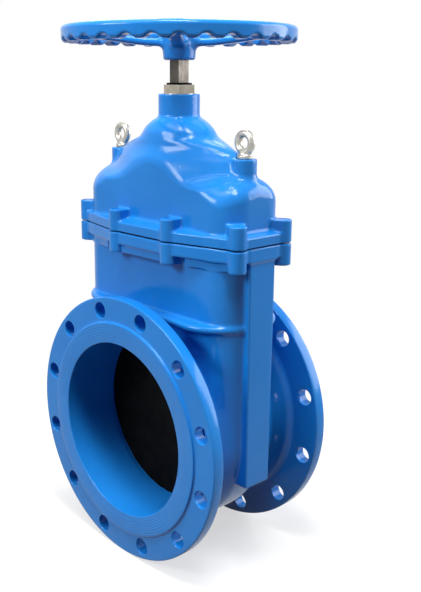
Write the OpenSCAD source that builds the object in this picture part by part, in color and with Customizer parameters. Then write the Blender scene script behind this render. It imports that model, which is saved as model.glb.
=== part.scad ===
// Flanged sluice valve with a rubber-faced wedge, a non-rising stem and a handwheel.
// The inlet flange face lies in the XZ plane, the pipe runs along +Y and the stem along +Z.

/* [Pipe ends] */
// Clear bore of the pipe
bore_d = 300; // [250:1:350]
// Length between the two raised flange faces
body_length = 270; // [250:1:300]
// Thickness of each end flange behind its raised face
flange_t = 20.5; // [18:0.5:28]
// Height of the raised sealing face
raised_h = 4; // [2:0.5:5]
// Width of the raised sealing face
raised_w = 35; // [30:1:40]
// Distance from the raised face's edge to the bolt circle
bolt_offset = 20; // [18:0.5:24]
// Distance from the bolt circle to the flange rim
rim_offset = 22.5; // [20:0.5:26]
// Bolt holes in each end flange
bolt_count = 12; // [8:4:16]
// Diameter of each bolt hole
bolt_hole_d = 28; // [22:1:30]
// Wall of the neck behind each flange
neck_wall = 18; // [14:1:20]
// Fillet between the neck and the flange
neck_fillet_r = 12; // [6:1:14]
// Chamfer on the flange rim
rim_chamfer = 2; // [1:0.5:3]

/* [Body] */
// Half width of the bowl along the pipe
bowl_half_width = 66; // [62:1:72]
// Corner radius of the bowl in plan
bowl_corner_r = 45; // [38:1:52]
// Wall thickness of the bowl and the bonnet
wall = 12; // [10:0.5:14]
// Height of the joint between body and bonnet above the pipe axis
joint_z = 328; // [316:1:350]
// Thickness of the gasket in that joint
gasket_t = 2; // [1.5:0.5:4]
// Inset of the gasket's edge from the joint flanges
gasket_inset = 2; // [1:0.5:3]
// Thickness of the body's joint flange
body_flange_t = 21; // [18:1:26]
// Wall between a guide channel and the outer face of its housing
strip_wall = 14.4; // [10:0.2:18]
// Width of the guide housings at the joint flange
strip_w = 58; // [52:1:66]
// Draft of each side of the guide housings, over their height
strip_draft = 2; // [0:0.5:3]
// Foot of the guide housings below the guide channels
strip_foot = 12.4; // [8:0.2:16]
// Top of the stiffening collar above the pipe axis
collar_z = 203; // [180:1:215]
// Thickness of the stiffening collar
collar_t = 12; // [9:1:15]
// Width of the stiffening collar beyond the bowl
collar_w = 22; // [16:1:26]
// Rounding of the stiffening collar's corners, less than its half width by
collar_round_less = 8; // [4:1:16]

/* [Joint bolts] */
// Inner bolts, distance across the valve from the stem
bolt_inner_x = 66; // [58:1:76]
// Inner bolts, distance outside the bowl wall
bolt_inner_out = 15; // [14:0.5:18]
// Outer bolts, distance inside the guide housings' faces
bolt_outer_in = 6; // [4:0.5:8]
// Outer bolts, distance inside the bowl wall's plane
bolt_outer_less = 15; // [12:0.5:18]
// Outside radius of each bolt lug
lug_r = 14; // [13:0.5:16]
// Width of the web that joins a lug to the wall
lug_web_w = 22; // [16:1:24]
// Height of the bonnet lugs above the joint
lug_rise = 37; // [32:1:42]
// Drop of the body lugs below the joint
lug_drop = 36; // [32:1:42]
// Radius of the counterbore for a screw head
head_hole_r = 9.5; // [9:0.5:10.5]
// Depth of the counterbore for a screw head
head_hole_depth = 15; // [12:1:18]
// Radius of the screw shank hole
shank_hole_r = 6.5; // [6:0.5:7]
// Depth of the screw hole in the body
shank_hole_depth = 24; // [18:1:28]
// Edge of the joint flange outside the bolt centres
flange_edge = 8; // [6:0.5:11]

/* [Bonnet] */
// Thickness of the bonnet flange
bonnet_flange_t = 14; // [12:1:18]
// Fillet between the bonnet flange and the skirt
skirt_fillet_r = 5; // [3:0.5:6]
// Height above the joint where the end shoulders start to round
shoulder_rise = 70; // [62:1:78]
// Height above the joint where the shoulders run into the bell
bell_foot_rise = 100; // [94:1:108]
// Height above the joint where the bell runs into the dome
bell_top_rise = 160; // [154:1:170]
// Inset of the bell's foot from the ends
bell_inset = 36; // [28:1:44]
// Corner radius of the bell's ends at its foot
bell_foot_r = 38; // [32:1:42]
// Corner radius of the bell's ends at its top
bell_top_r = 30; // [24:1:36]
// Height above the joint where the arch of the flat sides starts to close in
arch_foot_rise = 85; // [78:1:92]
// Height above the joint of the arch's crown
arch_rise = 127; // [118:1:136]
// Half width of the arch at its foot
arch_half = 110; // [100:1:120]
// Corner radius between the flat sides and the bell's ends
arch_r = 30; // [24:1:36]
// Inset of the round dome from the bowl's sides
dome_inset = 1; // [0.5:0.5:4]
// Height of the dome above the bell
dome_rise = 30; // [24:1:40]
// Step from the dome's top to the stuffing box
dome_step = 2.5; // [1.5:0.5:4]
// Height of the stuffing box above the dome
box_h = 38; // [34:1:44]
// Wall of the stuffing box
box_wall = 7; // [6:0.5:9]
// Depth of the thrust chamber in the stuffing box
chamber_depth = 48; // [44:1:52]
// Thickness of the roof between the cavity and the thrust chamber
roof_t = 17; // [14:1:20]

/* [Lifting eyes] */
// Inset of the lifting bosses from the bonnet's ends
boss_inset = 33; // [28:1:38]
// Radius of the lifting bosses
boss_r = 19.5; // [17:0.5:22]
// Height above the joint of the lifting boss faces
boss_rise = 132; // [126:1:138]
// Outside radius of an eye ring
eye_r = 20; // [18:0.5:22]
// Thickness of the bar of an eye ring
eye_bar_d = 9; // [8:0.5:10]
// Height of an eye ring's lower edge above its boss
eye_lift = 5; // [4:0.5:7]
// Radius of an eyebolt's shank
eye_shank_r = 6; // [5:0.5:8]
// Depth of an eyebolt's shank in its boss
eye_depth = 24; // [18:1:28]
// Radius of an eyebolt's collar
eye_collar_r = 12; // [10:0.5:13]
// Gap round an eyebolt's shank
eye_gap = 0.2; // [0.1:0.1:0.4]
// Gap between an eyebolt's collar and the spot face's wall
spot_gap = 1.5; // [1:0.5:2]

/* [Wedge] */
// Lap of the wedge disc outside the bore
wedge_lap = 10; // [8:0.5:12]
// Gap between the wedge disc and the ends of the bowl
wedge_side_gap = 13; // [10:0.5:15]
// Width of the seat rings outside the bore
seat_w = 16; // [13:0.5:18]
// Half width of the seat gap at the pipe axis
seat_half = 28; // [26:0.5:31]
// Taper of each wedge face
wedge_taper = 1.5; // [1:0.25:2]
// Gap between wedge and seat when closed
seat_gap = 0.4; // [0.3:0.1:0.8]
// Height of the wedge head above its disc
wedge_head_h = 5; // [3:0.5:8]
// Half length of the wedge head beyond the stem nut
wedge_head_wall = 12; // [10:0.5:14]
// Rounding of the wedge head beyond its half length
wedge_head_round = 6; // [5:0.5:8]
// Thickness of the rubber on the wedge
rubber_t = 5; // [4:0.5:6]
// Gap between the raised wedge and the roof of its cavity
head_gap = 16; // [12:1:20]
// Half thickness of the guide tongues
tongue_half = 11.5; // [10:0.5:13]
// Reach of the guide tongues beyond the wedge disc
tongue_l = 18; // [15:0.5:20]
// Upper end of the guide tongues above the pipe axis
tongue_top = 10; // [4:1:12]
// Lower end of the guide tongues below the pipe axis
tongue_drop = 56; // [48:1:64]
// Thickness of the guide shoes
shoe_t = 2.6; // [2:0.2:3]
// Sliding gap between a guide shoe and its channel
shoe_gap = 1; // [0.6:0.1:1.4]
// Gap between a guide shoe and the wedge disc
shoe_setback = 0.5; // [0.3:0.1:1]
// Wall of the stem nut at its ends
nut_end_wall = 8; // [6:0.5:10]
// Wall of the stem nut at its sides
nut_side_wall = 5; // [4:0.5:6]
// Height of the stem nut
nut_h = 34; // [28:1:40]

/* [Stem] */
// Radius of the stem
stem_r = 16; // [14:0.5:18]
// Running gap round the stem
stem_gap = 0.5; // [0.4:0.1:0.8]
// Gap round the stem inside the wedge
wedge_hole_gap = 1; // [1:0.1:1.5]
// Lower end of the stem above the bore
stem_foot_gap = 1; // [0.5:0.5:4]
// Side of the stem's square as a share of the stem's diameter
square_share = 0.6875; // [0.62:0.0125:0.7]
// Width of the thrust collar
thrust_w = 9.5; // [8:0.5:11]
// Thickness of the thrust collar
thrust_t = 10; // [8:1:12]
// Gap between the thrust collar and its chamber
thrust_gap = 2; // [1:0.5:3]
// Thickness of each thrust washer
washer_t = 4; // [3:0.5:5]
// Wall of the gland nut's head across its flats
gland_wall = 9; // [8:0.5:11]
// Height of the gland nut's head
gland_head_h = 15; // [13:0.5:18]
// Chamfer on the gland nut's corners
gland_chamfer = 3; // [2:0.5:4]
// Turn of the gland nut's flats
gland_turn = 18; // [0:1:60]
// Width of the wiper ring
wiper_w = 5; // [4:0.5:7]
// Height of the wiper ring
wiper_h = 3; // [2:0.5:5]

/* [Handwheel] */
// Outside radius of the wheel rim
wheel_r = 191.5; // [170:0.5:220]
// Width of the wheel rim
rim_w = 27; // [24:0.5:30]
// Height of the wheel rim
rim_h = 26; // [23:0.5:28]
// Radius of the rim's upper edges
rim_edge_r = 10; // [8:0.5:11]
// Radius of the rim's lower edges
rim_foot_r = 4; // [3:0.5:5]
// Finger notches round the rim
notch_count = 30; // [24:1:32]
// Radius of a finger notch
notch_r = 13; // [11:0.5:14]
// Depth of a finger notch
notch_depth = 7; // [5:0.5:8]
// Reach of a finger notch in from the rim's outside
notch_reach = 15; // [12:0.5:17]
// Length of stem that shows below the hub
square_show = 39; // [34:1:44]
// Rise of the rim's foot above the hub's foot
rim_rise = 27; // [22:1:32]
// Wall of the hub's foot round the stem
hub_foot_wall = 10; // [9:0.5:12]
// Wall of the hub's top round the stem
hub_top_wall = 13; // [12:0.5:15]
// Height of the hub
hub_h = 40; // [38:1:44]
// Spokes in the wheel
spoke_count = 4; // [4:1:6]
// Width of a spoke
spoke_w = 24; // [20:1:28]
// Thickness of a spoke
spoke_t = 12; // [10:0.5:13]
// Rise of a spoke's underside from the hub's foot, at the hub
spoke_hub_rise = 22; // [18:1:25]
// Rise of a spoke's underside from the hub's foot, at the rim
spoke_rim_rise = 36; // [32:1:38]
// Turn of the first spoke
spoke_turn = 45; // [0:1:90]
// Play between the hub and the stem's square
square_gap = 0.3; // [0.3:0.1:0.6]
// Gap between the stem's end and the wheel washer
square_end_gap = 1; // [0.5:0.5:2]
// Thickness of the wheel washer
wheel_washer_t = 4; // [3:0.5:5]
// Step from the hub's top edge to the wheel washer
wheel_washer_step = 8; // [6:0.5:9]
// Play of the wheel bolt in its washer
bolt_play = 0.5; // [0.3:0.1:0.8]
// Wheel bolt head, across flats
bolt_head_af = 24; // [22:1:26]
// Height of the wheel bolt's head
bolt_head_h = 10; // [8:0.5:12]
// Wall of the stem's square round the wheel bolt
bolt_wall = 3; // [2.5:0.5:4]
// Length of the wheel bolt in the stem
wheel_bolt_l = 24; // [18:1:30]

/* [Hidden] */
$fn = 64;

blue = [0.08, 0.33, 0.68];
steel = [0.72, 0.73, 0.74];
brass = [0.78, 0.66, 0.42];
rubber = [0.06, 0.06, 0.07];
plastic = [0.85, 0.85, 0.8];

// Overrun of cuts, and the steps of arcs, pipe rounds and lofts
over = 1;
arc_steps = 8;
pipe_steps = 128;
loft_steps = 56;

mid_y = body_length / 2;
bore_r = bore_d / 2;
neck_r = bore_r + neck_wall;
raised_r = bore_r + raised_w;
bolt_circle_r = raised_r + bolt_offset;
rim_r = bolt_circle_r + rim_offset;
flange_face = mid_y - raised_h;
flange_back = flange_face - flange_t;

wedge_r = bore_r + wedge_lap;
seat_r = bore_r + seat_w;
wedge_head_z = wedge_r + wedge_head_h;
taper_rise = tan(wedge_taper);
tongue_reach = wedge_r + tongue_l;
shoe_half = tongue_half + shoe_t;
shoe_reach = tongue_reach + shoe_t;
channel_half = shoe_half + shoe_gap;
channel_reach = shoe_reach + shoe_gap;
channel_drop = tongue_drop + shoe_t + shoe_gap;

cavity_half_length = wedge_r + wedge_side_gap;
cavity_half_width = bowl_half_width - wall;
cavity_corner_r = bowl_corner_r - wall;
bowl_half_length = cavity_half_length + wall;
strip_half_length = channel_reach + strip_wall;
strip_drop = channel_drop + strip_foot;
collar_half_width = bowl_half_width + collar_w;
body_top_z = joint_z - gasket_t / 2;
bonnet_foot_z = joint_z + gasket_t / 2;
lug_top_z = joint_z + lug_rise;
lug_foot_z = joint_z - lug_drop;
bolt_inner_y = bowl_half_width + bolt_inner_out;
bolt_outer_x = strip_half_length - bolt_outer_in;
bolt_outer_y = bowl_half_width - bolt_outer_less;

shoulder_z = joint_z + shoulder_rise;
bell_foot_z = joint_z + bell_foot_rise;
bell_top_z = joint_z + bell_top_rise;
arch_foot_z = joint_z + arch_foot_rise;
arch_z = joint_z + arch_rise;
dome_top_z = bell_top_z + dome_rise;
box_top_z = dome_top_z + box_h;
chamber_z = box_top_z - chamber_depth;
roof_z = chamber_z - roof_t;
boss_z = joint_z + boss_rise;
boss_x = bowl_half_length - boss_inset;
dome_r = bowl_half_width - dome_inset;

thrust_r = stem_r + thrust_w;
chamber_r = thrust_r + thrust_gap;
box_r = chamber_r + box_wall;
dome_top_r = box_r + dome_step;
collar_foot_z = chamber_z + washer_t;
collar_top_z = collar_foot_z + thrust_t;
sleeve_foot_z = collar_top_z + washer_t;
gland_top_z = box_top_z + gland_head_h;
gland_half = stem_r + gland_wall;
gland_corner_r = gland_half / cos(30);
stem_foot_z = bore_r + stem_foot_gap;
stem_hole_r = stem_r + wedge_hole_gap;
square_side = square_share * 2 * stem_r;

nut_half_length = stem_r + nut_end_wall;
nut_half_width = stem_r + nut_side_wall;
nut_foot_z = wedge_head_z - nut_h;
wedge_head_half = nut_half_length + wedge_head_wall;
wedge_head_r = wedge_head_half + wedge_head_round;
lift = roof_z - head_gap - wedge_head_z;

eye_bar_r = eye_bar_d / 2;
eye_rise = eye_lift + eye_r;
hub_z = gland_top_z + square_show;
hub_top_z = hub_z + hub_h;
hub_foot_r = stem_r + hub_foot_wall;
hub_top_r = stem_r + hub_top_wall;
square_top_z = hub_top_z - square_end_gap;
rim_z = hub_z + rim_rise;
rim_mid_r = wheel_r - rim_w / 2;
wheel_washer_r = hub_top_r - wheel_washer_step;
wheel_bolt_r = square_side / 2 - bolt_wall;

// Points of an arc round a centre, from one angle to another
function arc_points(cx, cy, r, from, to, steps = arc_steps) =
    [for (i = [0 : steps]) [cx + r * cos(from + (to - from) * i / steps),
                            cy + r * sin(from + (to - from) * i / steps)]];

// Outline of a rounded rectangle from its half sizes
function round_box(a, b, r) = concat(
    arc_points(a - r, b - r, r, 0, 90),
    arc_points(r - a, b - r, r, 90, 180),
    arc_points(r - a, r - b, r, 180, 270),
    arc_points(a - r, r - b, r, 270, 360));

// Outline of the joint flanges, an edge outside the bolt centres
edge_turn = atan2(bolt_outer_x - bolt_inner_x, bolt_inner_y - bolt_outer_y);
function joint_outline(edge) = concat(
    arc_points(bolt_outer_x, bolt_outer_y, edge, 0, edge_turn),
    arc_points(bolt_inner_x, bolt_inner_y, edge, edge_turn, 90),
    arc_points(-bolt_inner_x, bolt_inner_y, edge, 90, 180 - edge_turn),
    arc_points(-bolt_outer_x, bolt_outer_y, edge, 180 - edge_turn, 180),
    arc_points(-bolt_outer_x, -bolt_outer_y, edge, 180, 180 + edge_turn),
    arc_points(-bolt_inner_x, -bolt_inner_y, edge, 180 + edge_turn, 270),
    arc_points(bolt_inner_x, -bolt_inner_y, edge, 270, 360 - edge_turn),
    arc_points(bolt_outer_x, -bolt_outer_y, edge, 360 - edge_turn, 360));

// A prism with its outline in XY
module upright(points, from, to) {
    translate([0, 0, from])
        linear_extrude(to - from)
            polygon(points);
}

// A prism with its outline in XZ, centred on the mid plane
module across(points, depth) {
    translate([0, depth / 2, 0])
        rotate([90, 0, 0])
            linear_extrude(depth)
                polygon(points);
}

// A prism with its outline in YZ, centred on the stem
module along(points, length) {
    translate([-length / 2, 0, 0])
        rotate([90, 0, 90])
            linear_extrude(length)
                polygon(points);
}

// A solid of revolution about the pipe axis, its outline given as radius and y
module pipe_round(points) {
    rotate([-90, 0, 0])
        rotate_extrude($fn = pipe_steps)
            polygon(points);
}

// A cylinder on the pipe axis, centred on the mid plane
module pipe_rod(r, length) {
    rotate([90, 0, 0])
        cylinder(r = r, h = length, center = true, $fn = pipe_steps);
}

// Space between two tapered faces, half as wide as said at the pipe axis
module taper_space(half) {
    along([[-half + rim_r * taper_rise, -rim_r], [half - rim_r * taper_rise, -rim_r],
           [half + rim_r * taper_rise, rim_r], [-half - rim_r * taper_rise, rim_r]], 2 * rim_r);
}

// Both ends or sides of what the mid plane or the stem mirrors
module both(normal) {
    children();
    mirror(normal) children();
}

// Places of the eight joint bolts, each turned so that its web points at the wall
module at_bolts() {
    outer_turn = atan2(bolt_outer_y - bowl_half_width + bowl_corner_r,
                       bolt_outer_x - bowl_half_length + bowl_corner_r);
    both([1, 0, 0]) both([0, 1, 0]) {
        translate([bolt_inner_x, bolt_inner_y, 0]) rotate([0, 0, 90]) children();
        translate([bolt_outer_x, bolt_outer_y, 0]) rotate([0, 0, outer_turn]) children();
    }
}

// Lugs round the joint bolts, with webs to the wall
module lugs(from, to) {
    at_bolts() translate([0, 0, from]) {
        cylinder(r = lug_r, h = to - from);
        translate([-lug_r - wall / 2, -lug_web_w / 2, 0])
            cube([lug_r + wall / 2, lug_web_w, to - from]);
    }
}

// Flange, raised face and neck of the outlet end
module pipe_end() {
    pipe_round(concat(
        [[0, bowl_half_width - wall / 2], [neck_r, bowl_half_width - wall / 2]],
        arc_points(neck_r + neck_fillet_r, flange_back - neck_fillet_r, neck_fillet_r, 180, 90),
        [[rim_r - rim_chamfer, flange_back], [rim_r, flange_back + rim_chamfer],
         [rim_r, flange_face - rim_chamfer], [rim_r - rim_chamfer, flange_face],
         [raised_r, flange_face], [raised_r, mid_y], [0, mid_y]]));
}

// Bolt holes through the outlet flange, straddling the vertical
module flange_holes() {
    for (i = [0 : bolt_count - 1])
        rotate([0, (i + 0.5) * 360 / bolt_count, 0])
            translate([0, flange_back - over, bolt_circle_r])
                rotate([-90, 0, 0])
                    cylinder(d = bolt_hole_d, h = flange_t + 2 * over);
}

// A bowl: its plan outline turned about the pipe below the axis, and drawn straight up above it
module bowl(a, b, r, top) {
    pipe_round(concat([[0, -b]],
                      arc_points(a - r, r - b, r, 270, 360),
                      arc_points(a - r, b - r, r, 0, 90),
                      [[0, b]]));
    upright(round_box(a, b, r), 0, top);
}

module guide_housing() {
    top = body_top_z - body_flange_t / 2;
    half = strip_w / 2;
    translate([strip_half_length / 2, 0, 0])
        along([[-half + strip_draft, -strip_drop], [half - strip_draft, -strip_drop],
               [half, top], [-half, top]], strip_half_length);
}

module body_outside() {
    bowl(bowl_half_length, bowl_half_width, bowl_corner_r, body_top_z);
    both([0, 1, 0]) pipe_end();
    both([1, 0, 0]) guide_housing();
    upright(joint_outline(flange_edge), body_top_z - body_flange_t, body_top_z);
    upright(round_box(strip_half_length, collar_half_width, collar_half_width - collar_round_less),
            collar_z - collar_t, collar_z);
    lugs(lug_foot_z, body_top_z);
}

module body_cavity() {
    difference() {
        bowl(cavity_half_length, cavity_half_width, cavity_corner_r, body_top_z + over);
        difference() {
            pipe_rod(seat_r, 2 * bowl_half_width);
            taper_space(seat_half);
        }
    }
    translate([0, 0, (body_top_z + over - channel_drop) / 2])
        cube([2 * channel_reach, 2 * channel_half, body_top_z + over + channel_drop],
             center = true);
}

module body() color(blue) translate([0, mid_y, 0]) {
    difference() {
        body_outside();
        body_cavity();
        pipe_rod(bore_r, body_length + 2 * over);
        both([0, 1, 0]) flange_holes();
        at_bolts() translate([0, 0, body_top_z - shank_hole_depth])
            cylinder(r = shank_hole_r, h = shank_hole_depth + over);
    }
}

// A plan section of the bonnet, as a list: height; half length, corner offset and corner radius of
// its ends; half length, half width and corner radius of its flat sides. Each point of its outline
// runs over smoothly from the round of a flat side to the round of an end.
round_soft = 2;
function section_point(s, turn) =
    let (c = cos(turn), d = sin(turn),
         ends = [s[1] - s[3], s[2], s[3]],
         sides = [s[4], s[5] - s[6], s[6]],
         lead = (sides - ends) * [abs(c), abs(d), 1],
         share = 1 / (1 + exp(lead / round_soft)),
         at = share * ends + (1 - share) * sides)
    [sign(c) * at[0] + at[2] * c, sign(d) * at[1] + at[2] * d, s[0]];

bell_foot_half = bowl_half_length - bell_inset;
corner_off = bowl_half_width - bowl_corner_r;
// Share of the corner offset that is left at the bell's foot
foot_off_share = 0.2;
// Power by which the dome closes in
dome_power = 1.5;

// Half length of the flat sides at a height
function flat_half(z) = arch_half * min(max((arch_z - z) / (arch_z - arch_foot_z), 0), 1);

// Sections of the skirt, shoulders, bell and dome, an offset inside their outer face
function skirt_section(offset, z) =
    [z, bowl_half_length - offset, corner_off, bowl_corner_r - offset,
     arch_half, bowl_half_width - offset, arch_r - offset];

function shoulder_section(offset, u) =
    let (fall = 1 - cos(u), z = shoulder_z + (bell_foot_z - shoulder_z) * sin(u))
    [z - offset * fall,
     bowl_half_length - offset - bell_inset * fall,
     corner_off * (1 - (1 - foot_off_share) * fall),
     bowl_corner_r - offset + (bell_foot_r - bowl_corner_r) * fall,
     flat_half(z), bowl_half_width - offset, arch_r - offset];

function bell_section(offset, u) =
    let (lean = 2 * u * (bell_foot_half - dome_r) / (bell_top_z - bell_foot_z),
         slope = sqrt(1 + lean * lean),
         z = bell_foot_z + (bell_top_z - bell_foot_z) * u)
    [z - offset * lean / slope,
     dome_r + (bell_foot_half - dome_r) * (1 - u * u) - offset / slope,
     corner_off * foot_off_share * (1 - u),
     bell_foot_r + (bell_top_r - bell_foot_r) * u - offset,
     flat_half(z),
     bowl_half_width - dome_inset * u - offset,
     arch_r + (dome_r - arch_r) * u - offset];

function dome_section(share) =
    let (r = dome_top_r + (dome_r - dome_top_r) * (1 - pow(share, dome_power)))
    [bell_top_z + (dome_top_z - bell_top_z) * share, r, 0, r, 0, r, r];

function tower_section(r, z) = [z, r, 0, r, 0, r, r];

skirt_foot_z = bonnet_foot_z + bonnet_flange_t;
outer_sections = concat(
    [skirt_section(-skirt_fillet_r, bonnet_foot_z)],
    [for (u = [0, 30, 60, 90])
        skirt_section(skirt_fillet_r * (sin(u) - 1), skirt_foot_z + skirt_fillet_r * (1 - cos(u)))],
    [for (u = [0, 20, 40, 60, 75]) shoulder_section(0, u)],
    [for (u = [0.04 : 0.08 : 0.96]) bell_section(0, u)],
    [for (share = [0 : 0.2 : 1]) dome_section(share)]);

inner_sections = concat(
    [skirt_section(wall, bonnet_foot_z - over)],
    [for (u = [0, 25, 50, 70]) shoulder_section(wall, u)],
    [for (u = [0.1 : 0.15 : 1]) bell_section(wall, u)],
    [tower_section(dome_r - wall, bell_top_z - wall / 2), tower_section(dome_r - wall, roof_z)]);

// A loft through plan sections, closed flat at both ends
module loft(sections) {
    n = loft_steps;
    m = len(sections);
    points = [for (s = sections) for (j = [0 : n - 1]) section_point(s, (j + 0.5) * 360 / n)];
    sides = [for (i = [0 : m - 2]) for (j = [0 : n - 1]) each [
        [i * n + j, (i + 1) * n + (j + 1) % n, i * n + (j + 1) % n],
        [i * n + j, (i + 1) * n + j, (i + 1) * n + (j + 1) % n]]];
    foot = [[for (j = [0 : n - 1]) j]];
    top = [[for (j = [0 : n - 1]) m * n - 1 - j]];
    polyhedron(points, concat(sides, foot, top));
}

module bonnet() color(blue) translate([0, mid_y, 0]) {
    difference() {
        union() {
            loft(outer_sections);
            upright(joint_outline(flange_edge), bonnet_foot_z, skirt_foot_z);
            lugs(bonnet_foot_z, lug_top_z);
            both([1, 0, 0]) translate([boss_x, 0, bell_foot_z - wall])
                cylinder(r = boss_r, h = boss_z - bell_foot_z + wall);
            translate([0, 0, bell_top_z])
                cylinder(r = box_r, h = box_top_z - bell_top_z);
        }
        loft(inner_sections);
        translate([0, 0, roof_z - over])
            cylinder(r = stem_r + stem_gap, h = box_top_z - roof_z + 2 * over);
        translate([0, 0, chamber_z])
            cylinder(r = chamber_r, h = box_top_z - chamber_z + over);
        both([1, 0, 0]) translate([boss_x, 0, boss_z]) {
            cylinder(r = eye_collar_r + spot_gap, h = dome_top_z - boss_z);
            translate([0, 0, -eye_depth - eye_gap])
                cylinder(r = eye_shank_r + eye_gap, h = eye_depth + eye_gap + over);
        }
        at_bolts() {
            translate([0, 0, joint_z]) cylinder(r = shank_hole_r, h = lug_rise + over);
            translate([0, 0, lug_top_z - head_hole_depth])
                cylinder(r = head_hole_r, h = head_hole_depth + over);
        }
    }
}

module bonnet_gasket() color(rubber) translate([0, mid_y, 0]) {
    difference() {
        upright(joint_outline(flange_edge - gasket_inset), body_top_z, bonnet_foot_z);
        upright(round_box(cavity_half_length, cavity_half_width, cavity_corner_r),
                body_top_z - over, bonnet_foot_z + over);
        translate([0, 0, joint_z])
            cube([2 * channel_reach, 2 * channel_half, gasket_t + 2 * over], center = true);
        at_bolts() translate([0, 0, body_top_z - over])
            cylinder(r = shank_hole_r, h = gasket_t + 2 * over);
    }
}

// A ring on the stem axis
module ring(outer, inner, from, to) {
    translate([0, mid_y, from]) difference() {
        cylinder(r = outer, h = to - from);
        translate([0, 0, -over]) cylinder(r = inner, h = to - from + 2 * over);
    }
}

module lower_thrust_washer() color(plastic)
    ring(chamber_r - stem_gap, stem_r + stem_gap, chamber_z, collar_foot_z);

module upper_thrust_washer() color(plastic)
    ring(chamber_r - stem_gap, stem_r + stem_gap, collar_top_z, sleeve_foot_z);

module stem_wiper() color(rubber)
    ring(stem_r + wiper_w, stem_r + stem_gap, gland_top_z, gland_top_z + wiper_h);

module gland_nut() color(brass) translate([0, mid_y, 0]) {
    difference() {
        union() {
            translate([0, 0, sleeve_foot_z])
                cylinder(r = chamber_r, h = box_top_z - sleeve_foot_z + over);
            intersection() {
                translate([0, 0, box_top_z])
                    rotate([0, 0, gland_turn])
                        cylinder(r = gland_corner_r, h = gland_head_h, $fn = 6);
                rotate_extrude()
                    polygon([[0, box_top_z - over], [gland_corner_r + over, box_top_z - over],
                             [gland_corner_r + over, gland_top_z - gland_chamfer],
                             [gland_corner_r - gland_chamfer, gland_top_z + over],
                             [0, gland_top_z + over]]);
            }
        }
        translate([0, 0, sleeve_foot_z - over])
            cylinder(r = stem_r + stem_gap, h = gland_top_z - sleeve_foot_z + 2 * over);
    }
}

module eyebolt(side) {
    translate([side * boss_x, mid_y, boss_z]) {
        translate([0, 0, -eye_depth]) cylinder(r = eye_shank_r, h = eye_depth + eye_bar_r);
        cylinder(r = eye_collar_r, h = eye_bar_r);
        cylinder(r = eye_bar_r, h = eye_lift + eye_bar_r);
        translate([0, 0, eye_rise])
            rotate([90, 0, 0])
                rotate_extrude()
                    translate([eye_r - eye_bar_r, 0])
                        circle(r = eye_bar_r);
    }
}

module eyebolt_left() color(steel) eyebolt(-1);

module eyebolt_right() color(steel) eyebolt(1);

module stem() color(steel) translate([0, mid_y, 0]) {
    difference() {
        union() {
            translate([0, 0, stem_foot_z])
                cylinder(r = stem_r, h = gland_top_z + wiper_h - stem_foot_z);
            translate([0, 0, collar_foot_z]) cylinder(r = thrust_r, h = thrust_t);
            translate([0, 0, (gland_top_z + square_top_z) / 2])
                cube([square_side, square_side, square_top_z - gland_top_z], center = true);
        }
        translate([0, 0, square_top_z - wheel_bolt_l])
            cylinder(r = wheel_bolt_r, h = wheel_bolt_l + over);
    }
}

// Cross section of the wheel rim, flat below and rounder above
module rim_section() {
    e = rim_edge_r;
    f = rim_foot_r;
    inner = wheel_r - rim_w;
    top = rim_z + rim_h;
    polygon(concat(
        arc_points(wheel_r - e, top - e, e, 0, 90),
        arc_points(inner + e, top - e, e, 90, 180),
        arc_points(inner + f, rim_z + f, f, 180, 270),
        arc_points(wheel_r - f, rim_z + f, f, 270, 360)));
}

// A spoke that rises from the hub to the rim
module spoke() {
    low = hub_z + spoke_hub_rise;
    high = hub_z + spoke_rim_rise;
    translate([0, spoke_w / 2, 0])
        rotate([90, 0, 0])
            linear_extrude(spoke_w)
                polygon([[0, low], [hub_top_r, low], [rim_mid_r, high], [rim_mid_r, high + spoke_t],
                         [hub_top_r, low + spoke_t], [0, low + spoke_t]]);
}

module handwheel() color(blue) translate([0, mid_y, 0]) {
    difference() {
        union() {
            rotate_extrude($fn = pipe_steps) rim_section();
            translate([0, 0, hub_z]) cylinder(r1 = hub_foot_r, r2 = hub_top_r, h = hub_h);
            for (i = [0 : spoke_count - 1])
                rotate([0, 0, spoke_turn + i * 360 / spoke_count]) spoke();
        }
        for (i = [0 : notch_count - 1])
            rotate([0, 0, (i + 0.5) * 360 / notch_count])
                translate([wheel_r - notch_reach, 0, rim_z + notch_depth - notch_r])
                    rotate([0, 90, 0])
                        cylinder(r = notch_r, h = notch_reach + over);
        translate([0, 0, hub_z + hub_h / 2])
            cube([square_side + 2 * square_gap, square_side + 2 * square_gap, hub_h + 2 * over],
                 center = true);
    }
}

module wheel_washer() color(steel)
    ring(wheel_washer_r, wheel_bolt_r + bolt_play, hub_top_z, hub_top_z + wheel_washer_t);

module wheel_bolt() color(steel) translate([0, mid_y, hub_top_z + wheel_washer_t]) {
    cylinder(r = bolt_head_af / 2 / cos(30), h = bolt_head_h, $fn = 6);
    translate([0, 0, -wheel_washer_t - wheel_bolt_l + square_end_gap])
        cylinder(r = wheel_bolt_r, h = wheel_bolt_l + wheel_washer_t);
}

// The wedge, a thickness inside its outer face: a tapered disc with shoulders up to its head
wedge_shoulder_turn = 52;
module wedge_shape(inset) {
    half = wedge_head_half - inset;
    intersection() {
        across(concat(
            arc_points(0, 0, wedge_r - inset, 180 - wedge_shoulder_turn, 360 + wedge_shoulder_turn,
                       8 * arc_steps),
            [[half, wedge_head_z - half / 2], [half, wedge_head_z],
             [-half, wedge_head_z], [-half, wedge_head_z - half / 2]]), 4 * seat_half);
        taper_space(seat_half - seat_gap - inset);
        union() {
            translate([0, 0, nut_foot_z - rim_r])
                cube([2 * rim_r, 2 * rim_r, 2 * rim_r], center = true);
            cylinder(r = wedge_head_r - inset, h = rim_r);
        }
    }
}

module tongues(grow) {
    translate([0, 0, (tongue_top - tongue_drop) / 2])
        cube([2 * tongue_reach + 2 * grow, 2 * tongue_half + 2 * grow,
              tongue_top + tongue_drop + 2 * grow], center = true);
}

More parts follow.
